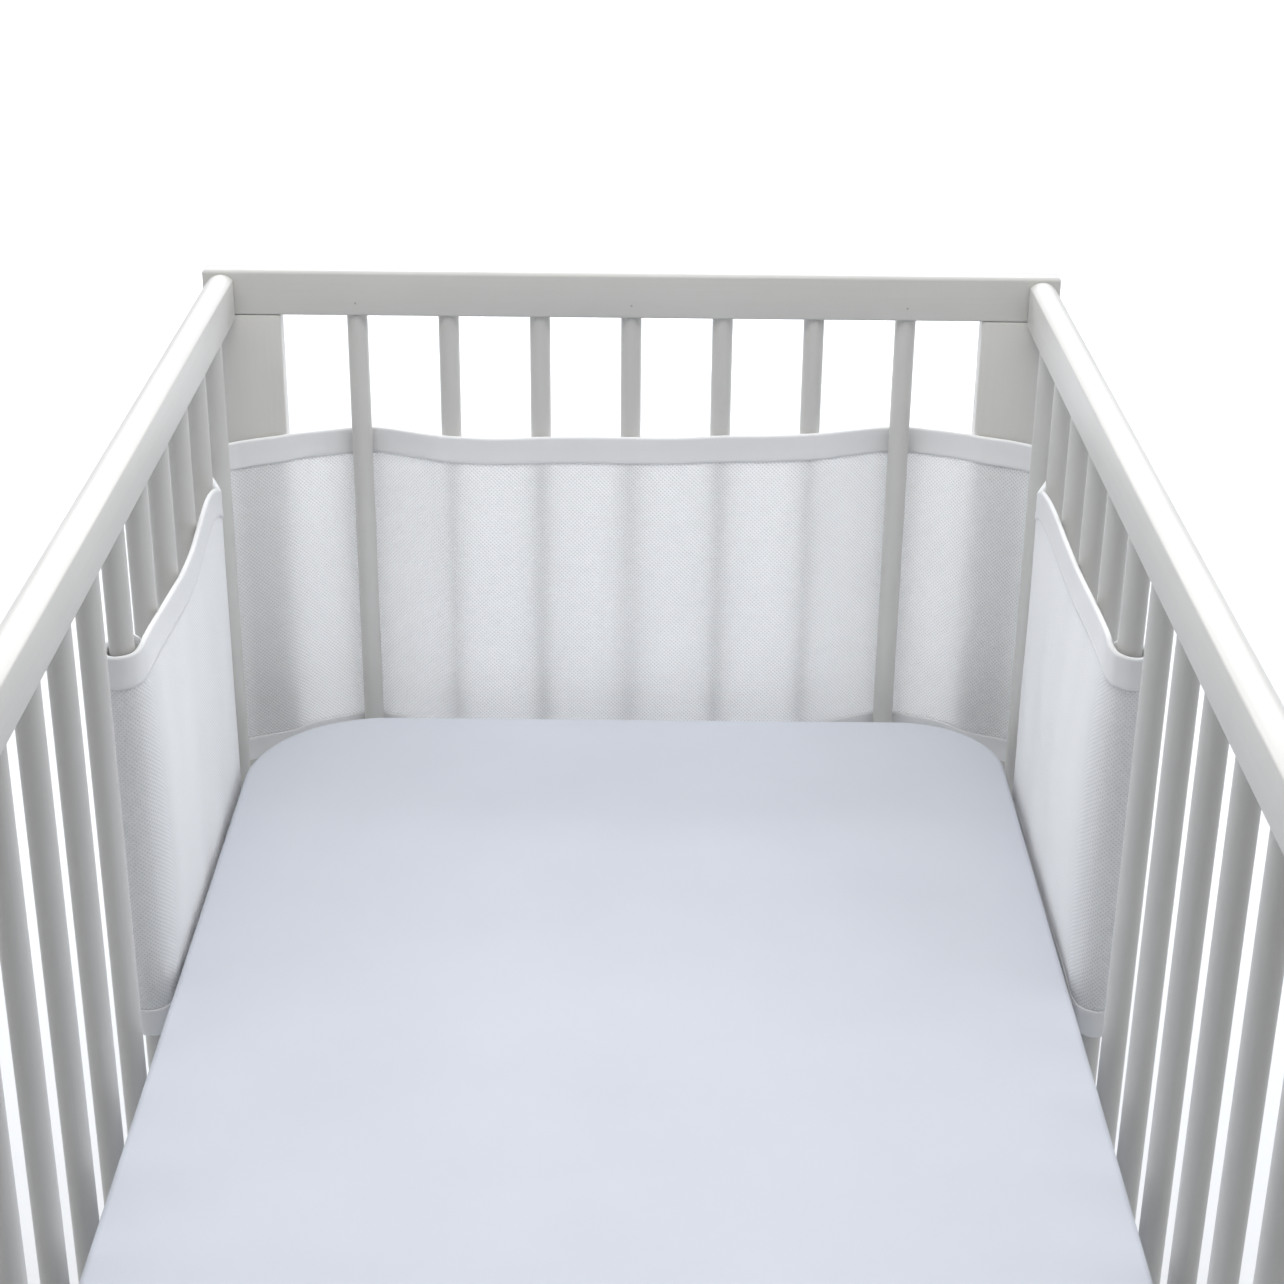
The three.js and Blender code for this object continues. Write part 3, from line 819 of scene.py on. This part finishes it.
def binding_section(edge, way):
    """A strip of cloth folded round the edge, with its cut edges turned under. It holds the mesh between."""
    outer = binding_outside_mm
    inner = binding_inside_mm
    hem = BINDING_HEIGHT_MM

    def arc(radius, middle):
        angles = np.linspace(0, math.pi, 2 * FOLD_STEPS + 1)
        return [(radius * math.cos(a), middle - min(radius, middle) * math.sin(a)) for a in angles]

    face = [
        (outer - 0.25, hem), (outer + TURN_UNDER_RISE_MM * 0.7, hem - 0.5),
        (outer + TURN_UNDER_RISE_MM, hem - 1.5), (outer + TURN_UNDER_RISE_MM, hem - TURN_UNDER_MM + 1),
        (outer, hem - TURN_UNDER_MM - 1), (outer, hem / 2), (outer, 4),
    ]
    out = face + arc(outer, 2.0) + [(-x, d) for x, d in face[::-1]]
    back = [(-inner, hem), (-inner, hem / 2), (-inner, 4)]
    back += [(-inner, 1.3), (-inner + 0.4, 0.9), (inner - 0.4, 0.9), (inner, 1.3)]
    back += [(inner, 4), (inner, hem / 2), (inner, hem)]
    return [(x, edge + way * d) for x, d in out + back]


def outward(points, faces, uvs):
    """The same piece with its faces turned out, judged by the sign of its volume."""
    points = np.asarray(points)
    volume = 0.0
    for face in faces:
        a = points[face[0]]
        for second, third in zip(face[1:-1], face[2:]):
            volume += np.dot(a, np.cross(points[second], points[third]))
    if volume < 0:
        faces = [face[::-1] for face in faces]
    return points, faces, uvs


def cloth_piece(name, section, change, material, slot, node):
    points, faces, uvs = outward(*sweep(section, change))
    return make_piece(name, points, faces, material, slot, [node], uvs=uvs, sharp=70)


bumper = cloth_piece("bumper_spacer_mesh", mesh_section(), ripple, MESH_CLOTH, "mesh", "bumper_mesh")
top_binding = cloth_piece(
    "bumper_top_edge", binding_section(0, 1), pucker, BINDING_CLOTH, "binding", "bumper_top_binding"
)
hem_binding = cloth_piece(
    "bumper_hem_edge", binding_section(BUMPER_HEIGHT_MM, -1), pucker, BINDING_CLOTH, "binding",
    "bumper_hem_binding",
)

# ---- Stitches ----

STITCH_PITCH_MM = 3.4
STITCH_LENGTH_MM = 2.3
STITCH_HALF_MM = 0.24
STITCH_FROM_EDGE_MM = 2.6


def make_stitches():
    """A row of stitches along each binding, on both faces of the strip."""
    count = int(run_mm[-1] / STITCH_PITCH_MM)
    centres = (np.arange(count) + 0.5) * run_mm[-1] / count
    ring = [(math.cos(a), math.sin(a)) for a in np.arange(4) * math.pi / 2 + math.pi / 4]
    face_out = binding_outside_mm + TURN_UNDER_RISE_MM
    rows = [
        (side, depth)
        for depth in (
            BINDING_HEIGHT_MM - STITCH_FROM_EDGE_MM,
            BUMPER_HEIGHT_MM - BINDING_HEIGHT_MM + STITCH_FROM_EDGE_MM,
        )
        for side in (-1, 1)
    ]
    runs, depths, offsets = [], [], []
    for side, depth in rows:
        for centre in centres:
            for along, size in ((-0.5, 0.45), (-0.3, 1.0), (0.3, 1.0), (0.5, 0.45)):
                for x, d in ring:
                    runs.append(centre + along * STITCH_LENGTH_MM)
                    depths.append(depth + d * size * STITCH_HALF_MM)
                    offsets.append(side * (face_out + (x * size - 0.1) * STITCH_HALF_MM))
    places = np.interp(runs, run_mm, stations)
    points = strip.at(places, np.array(depths), np.array(offsets)) * MM
    faces = []
    for first in range(0, len(points), 16):
        for station in range(3):
            for corner in range(4):
                a = first + station * 4 + corner
                b = first + station * 4 + (corner + 1) % 4
                faces.append((a, a + 4, b + 4, b))
        faces.append([first + corner for corner in range(4)])
        faces.append([first + 12 + corner for corner in range(4)][::-1])
    uvs = np.column_stack([runs, depths]) * MM
    points, faces, uvs = outward(points, faces, uvs)
    return make_piece("bumper_stitches", points, faces, BINDING_CLOTH, "binding", uvs=uvs)


stitches = make_stitches()

# ---- Floor and light ----


FLOOR_HALF = 60
FLOOR_DROP_MM = 0.5


def make_floor():
    corners = [(x * FLOOR_HALF, y * FLOOR_HALF, 0) for x, y in ((-1, -1), (1, -1), (1, 1), (-1, 1))]
    mesh = bpy.data.meshes.new("floor")
    mesh.from_pydata(corners, [], [(0, 1, 2, 3)])
    mesh.materials.append(plain_floor())
    floor = bpy.data.objects.new("floor", mesh)
    floor.location.z = -FLOOR_DROP_MM * MM
    bpy.context.collection.objects.link(floor)


# The studio's own light all round, and how much is added behind the crib and beside it.
STUDIO_ALL_ROUND = 0.10
STUDIO_BEHIND_AND_BESIDE = 0.30
STUDIO_COLOUR = (0.97, 0.99, 1.03, 1)
# Soft boxes that face down: from and to across, from and to along, height, brightness, colour.
SOFT_BOXES = {
    "over_head_end": (-0.5, 0.5, -0.2, 0.3, 2.0, 7.3, (1.0, 0.985, 0.955)),
    "over_left_side": (-1.6, -0.5, -0.2, 0.8, 2.0, 1.75, (0.94, 0.985, 1.06)),
    "over_right_side": (0.5, 1.6, -0.2, 0.8, 2.0, 2.1, (0.94, 0.985, 1.06)),
    "far_behind": (-4.0, 4.0, 2.5, 8.0, 3.0, 2.9, (0.965, 0.99, 1.04)),
}


def make_studio():
    """A dim world that is brighter behind the crib and beside it than in front of it."""
    world = bpy.data.worlds.new("studio")
    bpy.context.scene.world = world
    world.use_nodes = True
    tree = world.node_tree
    nodes, links = tree.nodes, tree.links

    def calculate(operation, *values):
        node = nodes.new("ShaderNodeMath")
        node.operation = operation
        for socket, value in zip(node.inputs, values):
            if isinstance(value, bpy.types.NodeSocket):
                links.new(value, socket)
            else:
                socket.default_value = value
        return node.outputs[0]

    parts = nodes.new("ShaderNodeSeparateXYZ")
    links.new(nodes.new("ShaderNodeTexCoord").outputs["Generated"], parts.inputs[0])
    across, along, _ = parts.outputs
    share = calculate("ADD", calculate("ABSOLUTE", across), calculate("MAXIMUM", along, 0))
    level = calculate("MULTIPLY_ADD", share, STUDIO_BEHIND_AND_BESIDE, STUDIO_ALL_ROUND)
    nodes["Background"].inputs["Color"].default_value = STUDIO_COLOUR
    links.new(level, nodes["Background"].inputs["Strength"])


def make_soft_boxes():
    for name, (left, right, front, back, height, brightness, colour) in SOFT_BOXES.items():
        data = bpy.data.lights.new(name, "AREA")
        data.shape = "RECTANGLE"
        data.size, data.size_y = right - left, back - front
        data.color = colour
        data.energy = math.pi * data.size * data.size_y * brightness
        light = bpy.data.objects.new(name, data)
        light.location = ((left + right) / 2, (front + back) / 2, height)
        light.visible_camera = False
        bpy.context.collection.objects.link(light)


make_floor()
make_studio()
make_soft_boxes()
bpy.context.scene.view_settings.view_transform = "Standard"
